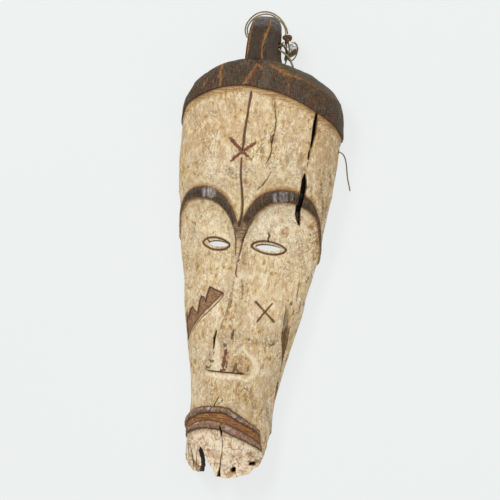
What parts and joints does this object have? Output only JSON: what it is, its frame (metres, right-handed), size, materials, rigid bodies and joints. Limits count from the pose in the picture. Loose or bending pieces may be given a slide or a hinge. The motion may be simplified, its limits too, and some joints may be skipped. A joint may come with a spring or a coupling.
{
  "type": "carved wooden face mask",
  "caption": "Tall carved wooden face mask in pale clay slip, with heart-shaped face, arched brows, dark cap band and a pierced tenon with its fibre cord.",
  "frame": {"origin": "on the resting surface under the middle of the carving's box, which lies face up on its rim", "axes": "+X to the viewer's right, +Y from chin to crest, +Z out of the face"},
  "size_m": [0.2107, 0.5667, 0.0831],
  "materials": {
    "clay_slipped_wood": "matt clay slip, worn and cracked",
    "fibre": "dry twisted plant fibre"
  },
  "bodies": {
    "root": {"mask": "clay_slipped_wood", "hanging_cord": "fibre", "cord_knot": "fibre", "cord_tail_curl": "fibre", "cord_tail_short": "fibre", "fringe_cord": "fibre", "fringe_stub": "fibre"}
  },
  "joints": []
}
